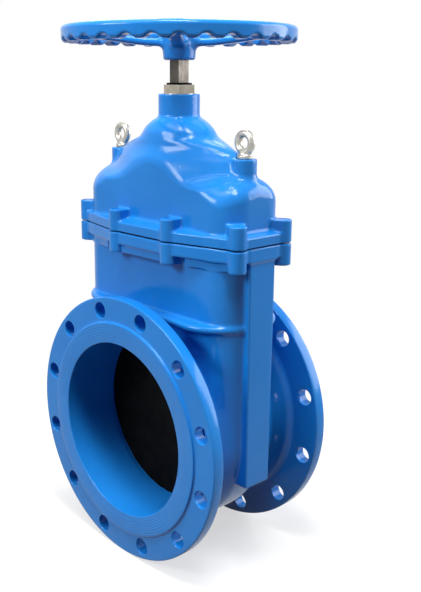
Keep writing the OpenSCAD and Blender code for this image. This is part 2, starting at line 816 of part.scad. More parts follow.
module nut_block(grow) {
    translate([0, 0, wedge_head_z - nut_h / 2 + grow / 2])
        cube([2 * nut_half_length, 2 * nut_half_width, nut_h + grow], center = true);
}

module wedge_holes() {
    nut_block(over);
    cylinder(r = stem_hole_r, h = 2 * rim_r, center = true);
}

module wedge_core() color(steel) translate([0, mid_y, 0]) {
    difference() {
        union() {
            wedge_shape(rubber_t);
            tongues(0);
        }
        wedge_holes();
    }
}

module wedge_rubber() color(rubber) translate([0, mid_y, 0]) {
    difference() {
        wedge_shape(0);
        wedge_shape(rubber_t);
        tongues(0);
        wedge_holes();
    }
}

module stem_nut() color(brass) translate([0, mid_y, 0]) {
    difference() {
        nut_block(0);
        translate([0, 0, nut_foot_z - over])
            cylinder(r = stem_r + stem_gap, h = nut_h + 2 * over);
    }
}

module guide_shoe(side) {
    translate([0, mid_y, 0]) difference() {
        intersection() {
            tongues(shoe_t);
            translate([side * (wedge_r + shoe_setback + rim_r / 2), 0, 0])
                cube([rim_r, rim_r, rim_r], center = true);
        }
        tongues(0);
    }
}

module guide_shoe_left() color(plastic) guide_shoe(-1);

module guide_shoe_right() color(plastic) guide_shoe(1);

body();
bonnet();
bonnet_gasket();
lower_thrust_washer();
upper_thrust_washer();
gland_nut();
stem_wiper();
eyebolt_left();
eyebolt_right();
stem();
handwheel();
wheel_washer();
wheel_bolt();
wedge_core();
wedge_rubber();
stem_nut();
guide_shoe_left();
guide_shoe_right();
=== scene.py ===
"""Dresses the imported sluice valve: cast meshes, materials, light and the photograph's camera.

Castings are signed distance fields in millimetres, centred on the stem and the pipe axis. Each
field is meshed by a surface net, so that ribs, necks and lugs run into the walls with cast fillets.
"""

import math

import bmesh
import bpy
import numpy as np
from mathutils import Matrix, Vector


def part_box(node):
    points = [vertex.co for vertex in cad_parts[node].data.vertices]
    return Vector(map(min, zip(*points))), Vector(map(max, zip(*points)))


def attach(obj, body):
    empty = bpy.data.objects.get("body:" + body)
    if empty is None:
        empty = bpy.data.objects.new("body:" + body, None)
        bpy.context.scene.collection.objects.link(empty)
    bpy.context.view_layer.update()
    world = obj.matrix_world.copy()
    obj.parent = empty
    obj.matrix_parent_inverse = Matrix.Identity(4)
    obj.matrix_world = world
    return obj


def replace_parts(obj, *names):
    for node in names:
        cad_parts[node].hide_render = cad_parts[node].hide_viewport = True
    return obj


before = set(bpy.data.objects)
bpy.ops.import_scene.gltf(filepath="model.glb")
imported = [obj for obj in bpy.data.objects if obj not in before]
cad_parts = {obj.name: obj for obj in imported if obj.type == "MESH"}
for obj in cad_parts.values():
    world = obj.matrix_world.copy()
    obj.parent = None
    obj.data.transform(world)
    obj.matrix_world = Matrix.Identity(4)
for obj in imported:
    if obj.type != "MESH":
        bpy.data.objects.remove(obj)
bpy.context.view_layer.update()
MM = 0.001

# Heights and lengths that the frame gives
MID_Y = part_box("body")[1].y / 2 / MM
BODY_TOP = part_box("body")[1].z / MM
BONNET_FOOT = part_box("bonnet")[0].z / MM
BOX_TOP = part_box("bonnet")[1].z / MM
HUB_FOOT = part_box("handwheel")[0].z / MM
RIM_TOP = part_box("handwheel")[1].z / MM
WHEEL_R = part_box("handwheel")[1].x / MM

# Pipe ends
RIM_R = 227.5
BORE_R = 150
NECK_R = 168
RAISED_R = 185
RAISED_H = 4
FLANGE_T = 20.5
BOLT_CIRCLE_R = 205
BOLT_HOLE_R = 14
BOLT_COUNT = 12
FLANGE_FACE = MID_Y - RAISED_H
FLANGE_BACK = FLANGE_FACE - FLANGE_T
LINER_R = 156
LINER_END = 34
BORE_PLAY = 2
PIPE_EDGE = 2
PIPE_SOFT = 0.8
PIPE_STEPS = 288
HOLE_STEPS = 48
HOLE_REACH = 4
AXIS_GAP = 1e-4

# Body and bonnet walls
WALL = 12
BOWL_LENGTH = 185
BOWL_WIDTH = 66
BOWL_CORNER = 45
FLARE_RISE = 26
FLARE_LAP = 1
NECK_FILLET = 18
NECK_LAP = 3
STRIP_LENGTH = 196
STRIP_HALF = 29
STRIP_DRAFT = 2
STRIP_DROP = 72
STRIP_EDGE = 3
STRIP_FILLET = 4
COLLAR_TOP = 203
COLLAR_T = 12
COLLAR_LENGTH = 191
COLLAR_WIDTH = 88
COLLAR_CORNER = 80
COLLAR_EDGE = 7
COLLAR_FILLET = 5
BODY_FLANGE_T = 21
BODY_FLANGE_FILLET = 7
BODY_LUG_FILLET = 3
BODY_INNER_EDGE = 2
SEAT_R = 166
SEAT_HALF = 28
SEAT_SLOPE = math.tan(math.radians(1.5))
SEAT_EDGE = 3
CHANNEL_HALF = 15.1
CHANNEL_REACH = 181.6
CHANNEL_DROP = 59.6

# Joint bolts, their lugs and the joint flanges
BOLTS = ((66, 81), (190, 51))
FLANGE_EDGE = 8
FLANGE_ROUND = 3
LUG_R = 14
LUG_EDGE = 2.5
JOINT = (BODY_TOP + BONNET_FOOT) / 2
LUG_TOP = JOINT + 37
LUG_FOOT = JOINT - 36
LUG_REACH_X = BOLTS[1][0] + LUG_R
LUG_REACH_Y = BOLTS[0][1] + LUG_R
PAD_START = 0.28
PAD_STEP = 4.5
HEAD_HOLE_R = 9.5
HEAD_HOLE_DEPTH = 15

# Bonnet
BONNET_FLANGE_T = 16
BONNET_FLANGE_FILLET = 6
BONNET_LUG_FILLET = 4
LEDGE_RISE = 7
LEDGE_REACH = 26
SHOULDER_X = 165
SHOULDER_ROUND = 27
SHOULDER_FALL = 16
SIDE_ROUND = 5
ARCH_FOOT = 411
ARCH_TOP = 455
ARCH_HALF = 112
STUFFING_R = 34.5
STUFFING_EDGE = 2
STUFFING_FILLET = 5
ROOF = 491
STEM_R = 16
STEM_PLAY = 1
CHAMBER_R = 27.5
CHAMBER_FLOOR = 508
BOSS_X = 152
BOSS_R = 19.5
BOSS_FOOT = 398
BOSS_TOP = 460
BOSS_EDGE = 3
BOSS_FILLET = 7
EYE_SPOT_R = 13.5

# Bell: half lengths, half widths and powers of its ovals, each at a height
BELL_START = 395
BELL_END = 524
BELL_LENGTH_POINTS = (
    (BELL_START, 226), (412, 205), (420, 190), (428, 174), (436, 163), (446, 156), (456, 149),
    (466, 137), (475, 116), (481, 95), (486, 78), (492, 71), (497, 68), (503, 62), (510, 52),
    (515, 43), (518, 37), (BELL_END, 20))
BELL_WIDTH_POINTS = (
    (BELL_START, 66), (455, 66), (460, 62.5), (466, 59.5), (475, 56.5), (484, 55), (492, 54),
    (497, 53), (503, 50), (510, 46), (515, 41), (518, 37), (BELL_END, 20))
BELL_POWER_POINTS = (
    (BELL_START, 1.4), (455, 1.4), (470, 1.45), (476, 1.6), (484, 2), (BELL_END, 2))
BELL_FOOT = 428
BELL_FILLET = 14

# What softens the ovals' points, and limits that keep the bell's field steady
BELL_TIP = 0.1
MOST_CUT = 0.64
LEAST_STEEPNESS = 0.002
LEAN_STEP = 1

# Smoothing of the bell's curves: step and spread of height, and how many spreads the kernel takes in
TABLE_STEP = 0.5
TABLE_SOFT = 2.5
TABLE_REACH = 3

# Lifting eyes
EYE_R = 20
EYE_BAR_R = 6
EYE_RISE = 25
EYE_FILLET = 6
EYE_COLLAR_R = 12
EYE_COLLAR_EDGE = 2
EYE_COLLAR_FILLET = 5
EYE_NECK_R = 7
EYE_SHANK_R = 6
EYE_SHANK_EDGE = 1
EYE_DEPTH = 24

# Handwheel
RIM_W = 27
RIM_H = 26
RIM_EDGE = 7
RIM_FOOT_EDGE = 6
NOTCHES = 30
NOTCH_R = 13
NOTCH_DEPTH = 7
NOTCH_EDGE = 5
HUB_TOP = HUB_FOOT + 40
HUB_FOOT_R = 26
HUB_TOP_R = 29
HUB_EDGE = 4
HUB_FILLET = 10
SPOKES = 4
SPOKE_HALF = 12
SPOKE_T = 12
SPOKE_EDGE = 5
SPOKE_FILLET = 12
SPOKE_HUB_Z = HUB_FOOT + 22
SPOKE_RIM_Z = HUB_FOOT + 36
SPOKE_TURN = math.radians(45)
SQUARE_HALF = 11.3
SQUARE_EDGE = 1.5

# Surface nets: grid steps, the most triangles that a piece keeps, and shares of a cell or of a face
BODY_STEP = 2.8
BONNET_STEP = 2.6
WHEEL_STEP = 2.0
EYE_STEP = 0.9
MOST_TRIANGLES = 180000
GRID_MARGIN = 1.5
CELL_PLAY = 0.2
STEADINESS = 0.04
NORMAL_INSET = 0.2

# Edges of turned and CAD pieces
SHARP_ANGLE = math.radians(32)
BEVEL_ANGLE = math.radians(35)
WELD_REACH = 0.02


def low_blend(a, b, width):
    """Union of two fields with a fillet of about a width."""
    near = np.maximum(width - np.abs(a - b), 0) / width
    return np.minimum(a, b) - near * near * width / 4


def high_blend(a, b, width):
    """Intersection of two fields with an edge rounded over about a width."""
    return -low_blend(-a, -b, width)


def round_meet(a, b, r):
    """Intersection of two fields with an edge of a true radius."""
    a, b = a + r, b + r
    return np.minimum(np.maximum(a, b), 0) + np.hypot(np.maximum(a, 0), np.maximum(b, 0)) - r


def round_box(x, y, a, b, r):
    """Distance to a rounded rectangle of half sizes a and b."""
    past_x = np.abs(x) - (a - r)
    past_y = np.abs(y) - (b - r)
    outside = np.hypot(np.maximum(past_x, 0), np.maximum(past_y, 0))
    return outside + np.minimum(np.maximum(past_x, past_y), 0) - r


def slab(z, low, high):
    """Distance to the space between two heights."""
    return np.maximum(low - z, z - high)


def segment(x, y, from_x, from_y, to_x, to_y):
    """Distance to a line segment."""
    run_x, run_y = to_x - from_x, to_y - from_y
    along = (x - from_x) * run_x + (y - from_y) * run_y
    along = np.clip(along / (run_x * run_x + run_y * run_y), 0, 1)
    return np.hypot(x - from_x - along * run_x, y - from_y - along * run_y)


def share_of(value, low, high):
    """How far a value lies between two others, 0 to 1."""
    return np.clip((value - low) / (high - low), 0, 1)


def ease(share):
    """A share that starts and ends gently."""
    return share * share * (3 - 2 * share)


def joint_outline(x, y):
    """Distance to the outline of the joint flanges, drawn round the bolt centres."""
    (side_x, side_y), (end_x, end_y) = BOLTS
    x, y = np.abs(x), np.abs(y)
    out_x, out_y = side_y - end_y, end_x - side_x
    slant = (out_x * (x - end_x) + out_y * (y - end_y)) / math.hypot(out_x, out_y)
    inside = np.maximum(np.maximum(x - end_x, y - side_y), slant)
    edge = segment(x, y, end_x, 0, end_x, end_y)
    edge = np.minimum(edge, segment(x, y, end_x, end_y, side_x, side_y))
    edge = np.minimum(edge, segment(x, y, side_x, side_y, 0, side_y))
    return np.where(inside < 0, inside, edge) - FLANGE_EDGE


def lugs(x, y, z, low, high):
    """Round lugs on the joint bolts, each with a web of its own width to the wall."""
    x, y = np.abs(x), np.abs(y)
    (side_x, side_y), (end_x, end_y) = BOLTS
    side = segment(x, y, side_x, side_y, side_x, BOWL_WIDTH - WALL)
    end = segment(x, y, end_x, end_y, BOWL_LENGTH - BOWL_CORNER, BOWL_WIDTH - BOWL_CORNER)
    return high_blend(np.minimum(side, end) - LUG_R, slab(z, low, high), LUG_EDGE)


def pads(x, y, z):
    """Thicker edges under the body flange: one between the side lugs, one towards each end lug."""
    x, y = np.abs(x), np.abs(y)
    (side_x, side_y), (end_x, end_y) = BOLTS
    side = segment(x, y, 0, side_y, side_x, side_y)
    start_x = side_x + (end_x - side_x) * PAD_START
    start_y = side_y + (end_y - side_y) * PAD_START
    slant = segment(x, y, start_x, start_y, end_x, end_y)
    field = np.minimum(side, slant) - FLANGE_EDGE + PAD_STEP
    return high_blend(field, slab(z, LUG_FOOT, BODY_TOP), LUG_EDGE)


def bolt_bores(x, y, r):
    """Round holes on the joint bolts."""
    x, y = np.abs(x), np.abs(y)
    return np.minimum.reduce([np.hypot(x - bx, y - by) for bx, by in BOLTS]) - r


def bowl(x, y, z, inset):
    """The bowl: a rounded box in plan, swept round the pipe axis below it."""
    across = np.where(z < 0, np.hypot(x, z), np.abs(x))
    return round_box(across, y, BOWL_LENGTH - inset, BOWL_WIDTH - inset, BOWL_CORNER - inset)


def body_hollow(x, y, z):
    """The body's room: bowl, seats for the wedge, guide channels and bore."""
    r = np.hypot(x, z)
    aside = np.abs(y)
    seat = np.maximum(r - SEAT_R, SEAT_HALF + SEAT_SLOPE * z - aside)
    hollow = high_blend(bowl(x, y, z, WALL), -seat, SEAT_EDGE)
    channel = np.maximum(np.abs(x) - CHANNEL_REACH, aside - CHANNEL_HALF)
    channel = np.maximum(channel, -CHANNEL_DROP - z)
    hollow = np.minimum(hollow, channel)
    return np.minimum(hollow, r - BORE_R - BORE_PLAY)


def body_field(x, y, z):
    """The body casting without its two pipe flanges."""
    r = np.hypot(x, z)
    aside = np.abs(y)
    flare = np.maximum(r - NECK_R - FLARE_RISE, FLANGE_BACK + FLARE_LAP - aside)
    neck = low_blend(r - NECK_R, flare, NECK_FILLET)
    field = low_blend(bowl(x, y, z, 0), neck, NECK_FILLET)
    half = STRIP_HALF - STRIP_DRAFT * (BODY_TOP - z) / (BODY_TOP + STRIP_DROP)
    strip = high_blend(np.abs(x) - STRIP_LENGTH, aside - half, STRIP_EDGE)
    strip = high_blend(strip, -STRIP_DROP - z, STRIP_EDGE)
    field = low_blend(field, strip, STRIP_FILLET)
    collar = round_box(x, y, COLLAR_LENGTH, COLLAR_WIDTH, COLLAR_CORNER)
    collar = high_blend(collar, slab(z, COLLAR_TOP - COLLAR_T, COLLAR_TOP), COLLAR_EDGE)
    field = low_blend(field, collar, COLLAR_FILLET)
    flange = slab(z, BODY_TOP - BODY_FLANGE_T, BODY_TOP)
    flange = high_blend(joint_outline(x, y), flange, FLANGE_ROUND)
    field = low_blend(field, flange, BODY_FLANGE_FILLET)
    bosses = np.minimum(lugs(x, y, z, LUG_FOOT, BODY_TOP), pads(x, y, z))
    field = low_blend(field, bosses, BODY_LUG_FILLET)
    field = np.maximum(field, z - BODY_TOP)
    field = np.maximum(field, aside - FLANGE_BACK - NECK_LAP)
    return high_blend(field, -body_hollow(x, y, z), BODY_INNER_EDGE)


def smooth_table(points):
    """A curve through points at even steps of height, smoothed."""
    z = np.arange(points[0][0], points[-1][0] + TABLE_STEP, TABLE_STEP)
    reach = int(TABLE_REACH * TABLE_SOFT / TABLE_STEP)
    kernel = np.exp(-0.5 * (np.arange(-reach, reach + 1) * TABLE_STEP / TABLE_SOFT) ** 2)
    padded = np.pad(np.interp(z, *zip(*points)), reach, mode="reflect", reflect_type="odd")
    return z, np.convolve(padded, kernel / kernel.sum(), mode="valid")


def arch_cut(z):
    """Half length, squared, of the flat side at a height under the arch."""
    return (ARCH_HALF / math.pi * math.acos(2 * share_of(z, ARCH_FOOT, ARCH_TOP) - 1)) ** 2


BELL_LENGTHS = smooth_table(BELL_LENGTH_POINTS)
BELL_WIDTHS = smooth_table(BELL_WIDTH_POINTS)
BELL_POWERS = smooth_table(BELL_POWER_POINTS)
BELL_CUTS = smooth_table([(z, arch_cut(z)) for z in range(BELL_START, BELL_END + 1)])


def oval(x, y, z):
    """Distance, in plan, to the bell's pointed oval at a height; the flat sides cut it along the arch."""
    length = np.interp(z, *BELL_LENGTHS)
    power = np.interp(z, *BELL_POWERS)
    level = (1 + BELL_TIP ** 2) ** (power / 2) + BELL_TIP ** power
    cut = np.minimum(np.interp(z, *BELL_CUTS) / length ** 2, MOST_CUT)
    side = level - (cut + BELL_TIP ** 2) ** (power / 2)
    width = np.interp(z, *BELL_WIDTHS) / np.sqrt(side ** (2 / power) - BELL_TIP ** 2)
    a, b = x / length, y / width
    u, v = np.hypot(a, BELL_TIP), np.hypot(b, BELL_TIP)
    size = (u ** power + v ** power) ** (1 / power)
    slant = np.hypot(u ** (power - 2) * a / length, v ** (power - 2) * b / width)
    return (size - level ** (1 / power)) / np.maximum(size ** (1 - power) * slant, LEAST_STEEPNESS)


def bonnet_shell(x, y, z):
    """Skirt with rounded ends and the bell over it."""
    lean = (oval(x, y, z + LEAN_STEP) - oval(x, y, z - LEAN_STEP)) / (2 * LEAN_STEP)
    bell = oval(x, y, z) / np.sqrt(1 + lean * lean)
    shoulder = z - BELL_FOOT + SHOULDER_FALL * (y / BOWL_WIDTH) ** 2
    skirt = round_box(x, y, BOWL_LENGTH, BOWL_WIDTH, BOWL_CORNER)
    towards_end = ease(share_of(np.abs(x), ARCH_HALF, SHOULDER_X))
    edge = SIDE_ROUND + (SHOULDER_ROUND - SIDE_ROUND) * towards_end
    return round_meet(low_blend(bell, shoulder, BELL_FILLET), skirt, edge)


def bonnet_field(x, y, z):
    """The bonnet casting."""
    r = np.hypot(x, y)
    from_boss = np.hypot(np.abs(x) - BOSS_X, y)
    shell = bonnet_shell(x, y, z)
    box = high_blend(r - STUFFING_R, z - BOX_TOP, STUFFING_EDGE)
    field = low_blend(shell, box, STUFFING_FILLET)
    boss = high_blend(from_boss - BOSS_R, slab(z, BOSS_FOOT, BOSS_TOP), BOSS_EDGE)
    field = low_blend(field, boss, BOSS_FILLET)
    outline = joint_outline(x, y)
    ledge = BONNET_FOOT + BONNET_FLANGE_T + LEDGE_RISE * np.clip(-outline / LEDGE_REACH, 0, 1)
    field = low_blend(field, high_blend(outline, z - ledge, FLANGE_ROUND), BONNET_FLANGE_FILLET)
    field = low_blend(field, lugs(x, y, z, BONNET_FOOT, LUG_TOP), BONNET_LUG_FILLET)
    field = np.maximum(field, BONNET_FOOT - z)
    heads = np.maximum(bolt_bores(x, y, HEAD_HOLE_R), LUG_TOP - HEAD_HOLE_DEPTH - z)
    field = np.maximum(field, -heads)
    spot = np.maximum(from_boss - EYE_SPOT_R, BOSS_TOP - z)
    field = np.maximum(field, -spot)
    hollow = np.maximum(shell + WALL, z - ROOF)
    hollow = np.minimum(hollow, r - STEM_R - STEM_PLAY)
    hollow = np.minimum(hollow, np.maximum(r - CHAMBER_R - STEM_PLAY, CHAMBER_FLOOR - z))
    return np.maximum(field, -hollow)


def wheel_field(x, y, z):
    """The handwheel casting, its finger notches across the foot of the rim."""
    r = np.hypot(x, y)
    turn = np.arctan2(y, x)
    middle = WHEEL_R - RIM_W / 2
    height = z - RIM_TOP + RIM_H / 2
    upper = round_box(r - middle, height, RIM_W / 2, RIM_H / 2, RIM_EDGE)
    lower = round_box(r - middle, height, RIM_W / 2, RIM_H / 2, RIM_FOOT_EDGE)
    rim = np.where(height > 0, upper, lower)
    pitch = 2 * math.pi / NOTCHES
    swing = (turn / pitch - np.floor(turn / pitch) - 0.5) * pitch
    notch_z = RIM_TOP - RIM_H + NOTCH_DEPTH - NOTCH_R
    notch = np.hypot(r * np.sin(swing), z - notch_z) - NOTCH_R
    rim = high_blend(rim, -notch, NOTCH_EDGE)
    pitch = 2 * math.pi / SPOKES
    swing = (((turn - SPOKE_TURN) / pitch + 0.5) % 1 - 0.5) * pitch
    rise = ease(share_of(r * np.cos(swing), HUB_TOP_R, middle))
    spoke_z = SPOKE_HUB_Z + SPOKE_T / 2 + (SPOKE_RIM_Z - SPOKE_HUB_Z) * rise
    spoke = round_box(r * np.sin(swing), z - spoke_z, SPOKE_HALF, SPOKE_T / 2, SPOKE_EDGE)
    spoke = np.maximum(spoke, r - middle)
    field = low_blend(rim, spoke, SPOKE_FILLET)
    share = (z - HUB_FOOT) / (HUB_TOP - HUB_FOOT)
    hub = r - HUB_FOOT_R - (HUB_TOP_R - HUB_FOOT_R) * share
    hub = high_blend(hub, slab(z, HUB_FOOT, HUB_TOP), HUB_EDGE)
    field = low_blend(field, hub, HUB_FILLET)
    square = np.maximum(np.abs(x), np.abs(y)) - SQUARE_HALF
    return high_blend(field, -square, SQUARE_EDGE)


def eye_field(x, y, z):
    """A forged eyebolt, centred on its shank with its collar's seat at zero."""
    r = np.hypot(x, y)
    ring = np.hypot(np.hypot(x, z - EYE_RISE) - (EYE_R - EYE_BAR_R), y) - EYE_BAR_R
    collar = high_blend(r - EYE_COLLAR_R, slab(z, 0, EYE_BAR_R), EYE_COLLAR_EDGE)
    neck = np.maximum(r - EYE_NECK_R, slab(z, 0, EYE_RISE - EYE_R + EYE_BAR_R))
    shank = high_blend(r - EYE_SHANK_R, slab(z, -EYE_DEPTH, EYE_BAR_R), EYE_SHANK_EDGE)
    head = low_blend(ring, low_blend(collar, neck, EYE_COLLAR_FILLET), EYE_FILLET)
    return low_blend(head, shank, EYE_SHANK_EDGE)


def slope(field, points, reach=0.2):
    """The gradient of a field at each point."""
    columns = []
    for axis in range(3):
        shift = np.zeros(3)
        shift[axis] = reach
        ahead = field(*(points + shift).T)
        behind = field(*(points - shift).T)
        columns.append((ahead - behind) / (2 * reach))
    return np.stack(columns, axis=1)


def unit(vectors, least=1e-9):
    """Vectors of length one."""
    return vectors / np.maximum(np.linalg.norm(vectors, axis=1), least)[:, None]


def surface_net(field, low, high, step):
    """Vertices and quads of a field's surface on a grid.

    Each grid cell that the surface passes gets one vertex, where the surface's tangent planes at
    the cell's cut edges meet, so that edges stay crisp. Each cut edge gets a quad round it.
    """
    axes = [np.arange(a - GRID_MARGIN * step, b + (GRID_MARGIN + 1) * step, step)
            for a, b in zip(low, high)]
    start = np.array([a[0] for a in axes])
    values = field(*np.meshgrid(*axes, indexing="ij"))
    inside = values < 0
    size = np.array(values.shape) - 1
    count = np.zeros(size, np.int8)
    for i in (0, 1):
        for j in (0, 1):
            for k in (0, 1):
                count += inside[i:size[0] + i, j:size[1] + j, k:size[2] + k]
    active = (count > 0) & (count < 8)
    cells = np.argwhere(active)
    number = np.full(active.shape, -1)
    number[active] = np.arange(len(cells))
    planes = np.zeros((len(cells), 3, 3))
    pulls = np.zeros((len(cells), 3))
    middles = np.zeros((len(cells), 4))
    quads = []
    for axis in range(3):
        u, v = (axis + 1) % 3, (axis + 2) % 3
        first = [slice(1, -1)] * 3
        first[axis] = slice(0, -1)
        second = list(first)
        second[axis] = slice(1, None)
        before, after = inside[tuple(first)], inside[tuple(second)]
        spots = np.argwhere(before != after)
        enters = before[tuple(spots.T)]
        spots += [0 if i == axis else 1 for i in range(3)]
        ends = spots.copy()
        ends[:, axis] += 1
        value, next_value = values[tuple(spots.T)], values[tuple(ends.T)]
        points = start + step * spots
        points[:, axis] += step * value / (value - next_value)
        normals = unit(slope(field, points))
        offsets = (normals * points).sum(axis=1)
        ring = []
        for du, dv in ((-1, -1), (0, -1), (0, 0), (-1, 0)):
            cell = spots.copy()
            cell[:, u] += du
            cell[:, v] += dv
            ring.append(number[tuple(cell.T)])
            np.add.at(planes, ring[-1], normals[:, :, None] * normals[:, None, :])
            np.add.at(pulls, ring[-1], normals * offsets[:, None])
            np.add.at(middles, ring[-1], np.column_stack([points, np.ones(len(points))]))
        quad = np.stack(ring, axis=1)
        quad[~enters] = quad[~enters, ::-1]
        quads.append(quad)
    middle = middles[:, :3] / np.maximum(middles[:, 3:], 1)
    steady = STEADINESS * np.maximum(middles[:, 3], 1)
    planes += steady[:, None, None] * np.eye(3)
    points = np.linalg.solve(planes, (pulls + steady[:, None] * middle)[:, :, None])[:, :, 0]
    corner = start + step * cells
    points = np.clip(points, corner - CELL_PLAY * step, corner + (1 + CELL_PLAY) * step)
    return points, np.concatenate(quads)


def link(name, mesh, body, slot, *materials):
    """A new piece that rides on a body and takes the materials given to it; the slot is not used."""
    piece = bpy.data.objects.new(name, mesh)
    bpy.context.scene.collection.objects.link(piece)
    for material in materials:
        mesh.materials.append(material)
    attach(piece, body)
    return piece


def applied(name, mesh, kind, **settings):
    """A mesh as one modifier leaves it."""
    blank = bpy.data.objects.new(name + "_blank", mesh)
    bpy.context.scene.collection.objects.link(blank)
    modifier = blank.modifiers.new("once", kind)
    for key, value in settings.items():
        setattr(modifier, key, value)
    graph = bpy.context.evaluated_depsgraph_get()
    made = bpy.data.meshes.new_from_object(blank.evaluated_get(graph))
    bpy.data.objects.remove(blank)
    made.name = name
    return made


def numbers(items, key, width=1, kind=float):
    """A value of every item of a mesh, as rows."""
    flat = np.empty(width * len(items), kind)
    items.foreach_get(key, flat)
    return flat.reshape(-1, width) if width > 1 else flat


def cast(name, field, low, high, step, place=(0, 0, 0)):
    """A mesh of a field, in metres and in the frame's place, with the field's own normals."""
    points, quads = surface_net(field, low, high, step)
    mesh = bpy.data.meshes.new(name)
    mesh.from_pydata(points.tolist(), [], quads.tolist())
    triangles = 2 * len(quads)
    if triangles > MOST_TRIANGLES:
        mesh = applied(name, mesh, "DECIMATE", ratio=MOST_TRIANGLES / triangles)
    places = numbers(mesh.vertices, "co", 3)
    corners = numbers(mesh.loops, "vertex_index", kind=int)
    centres = numbers(mesh.polygons, "center", 3)
    centres = np.repeat(centres, numbers(mesh.polygons, "loop_total", kind=int), axis=0)
    normals = unit(slope(field, (1 - NORMAL_INSET) * places[corners] + NORMAL_INSET * centres))
    mesh.vertices.foreach_set("co", ((places + np.array(place)) * MM).ravel())
    mesh.polygons.foreach_set("use_smooth", [True] * len(mesh.polygons))
    mesh.normals_split_custom_set(normals.tolist())
    mesh.update()
    return mesh


def lathe(profile, steps, axis_y=False):
    """A bmesh of a closed outline of radius and height, turned about Z, or about Y."""
    bm = bmesh.new()
    rings = []
    for i in range(steps):
        turn = 2 * math.pi * i / steps
        ring = []
        for r, h in profile:
            across, aside = r * math.cos(turn), r * math.sin(turn)
            ring.append(bm.verts.new((across, h, aside) if axis_y else (across, aside, h)))
        rings.append(ring)
    corners = len(profile)
    for i in range(steps):
        a, b = rings[i], rings[(i + 1) % steps]
        for j in range(corners):
            after = (j + 1) % corners
            bm.faces.new((a[j], a[after], b[after], b[j]))
    bmesh.ops.recalc_face_normals(bm, faces=bm.faces)
    return bm


def arc(centre_r, centre_h, r, first, last, steps=4):
    """Points of an arc in a lathe outline, its angles in degrees."""
    turns = [math.radians(first + (last - first) * i / steps) for i in range(steps + 1)]
    return [(centre_r + r * math.cos(turn), centre_h + r * math.sin(turn)) for turn in turns]


def mesh_of(bm, name):
    """A mesh of a bmesh, which is freed."""
    mesh = bpy.data.meshes.new(name)
    bm.to_mesh(mesh)
    bm.free()
    return mesh


def smooth_shade(mesh):
    """Smooth faces, apart from the sharp edges."""
    mesh.polygons.foreach_set("use_smooth", [True] * len(mesh.polygons))
    mesh.set_sharp_from_angle(angle=SHARP_ANGLE)


def flange_outline():
    """Radius and height of a pipe flange, its raised face and the bore's wall."""
    edge, soft = PIPE_EDGE, PIPE_SOFT
    hidden = FLANGE_BACK - edge
    outline = [(BORE_R, LINER_END)]
    outline += arc(BORE_R + edge, MID_Y - edge, edge, 180, 90)
    outline += [(RAISED_R - RAISED_H, MID_Y)]
    outline += arc(RAISED_R - soft, MID_Y - soft, soft, 90, 0)
    outline += arc(RAISED_R + edge, FLANGE_FACE + edge, edge, 180, 270)
    outline += [(RAISED_R + 3 * edge, FLANGE_FACE)]
    outline += [(RIM_R - 3 * edge, FLANGE_FACE)]
    outline += arc(RIM_R - edge, FLANGE_FACE - edge, edge, 90, 0)
    outline += arc(RIM_R - edge, FLANGE_BACK + edge, edge, 0, -90)
    outline += [(NECK_R + edge, FLANGE_BACK), (NECK_R, hidden), (LINER_R, hidden), (LINER_R, LINER_END)]
    return outline


def bolt_holes(name, side):
    """A mesh of the plugs that cut a pipe flange's bolt holes, their ends flared for soft edges."""
    wide, low, high = BOLT_HOLE_R + HOLE_REACH, FLANGE_BACK - HOLE_REACH, FLANGE_FACE + HOLE_REACH
    outline = [(AXIS_GAP, low), (wide, low),
               (BOLT_HOLE_R + PIPE_SOFT, FLANGE_BACK), (BOLT_HOLE_R, FLANGE_BACK + PIPE_SOFT),
               (BOLT_HOLE_R, FLANGE_FACE - PIPE_SOFT), (BOLT_HOLE_R + PIPE_SOFT, FLANGE_FACE),
               (wide, high), (AXIS_GAP, high)]
    plugs = bmesh.new()
    for i in range(BOLT_COUNT):
        turn = 2 * math.pi * (i + 0.5) / BOLT_COUNT
        plug = lathe([(r, side * h) for r, h in outline], HOLE_STEPS, axis_y=True)
        shift = Vector((BOLT_CIRCLE_R * math.sin(turn), 0, BOLT_CIRCLE_R * math.cos(turn)))
        bmesh.ops.translate(plug, verts=plug.verts, vec=shift)
        one = mesh_of(plug, "hole")
        plugs.from_mesh(one)
        bpy.data.meshes.remove(one)
    return mesh_of(plugs, name + "_holes")


def pipe_end(name, side, materials):
    """A pipe flange with its raised face, bolt holes and the bore's wall, on one side of the valve."""
    outline = [(r, side * h) for r, h in flange_outline()]
    mesh = mesh_of(lathe(outline, PIPE_STEPS, axis_y=True), name)
    tool = bpy.data.objects.new(name + "_tool", bolt_holes(name, side))
    bpy.context.scene.collection.objects.link(tool)
    mesh = applied(name, mesh, "BOOLEAN", operation="DIFFERENCE", solver="EXACT", object=tool)
    bpy.data.objects.remove(tool)
    mesh.transform(Matrix.Translation((0, MID_Y * MM, 0)) @ Matrix.Scale(MM, 4))
    smooth_shade(mesh)
    piece = link(name, mesh, "valve", "blue_epoxy", *materials)
    face = (MID_Y * (1 + side)) * MM
    for polygon in mesh.polygons:
        r = math.hypot(polygon.center.x, polygon.center.z) / MM
        on_face = abs(polygon.center.y - face) < PIPE_SOFT * MM
        if on_face and BORE_R + PIPE_EDGE < r < RAISED_R - PIPE_SOFT:
            polygon.material_index = 1
    return piece


def settled(bm, name, x, y):
    """A smooth mesh of a bmesh that stands over a joint bolt, in metres and in the frame's place."""
    bmesh.ops.translate(bm, verts=bm.verts, vec=(x, y + MID_Y, 0))
    bmesh.ops.scale(bm, verts=bm.verts, vec=(MM, MM, MM))
    mesh = mesh_of(bm, name)
    smooth_shade(mesh)
    return mesh


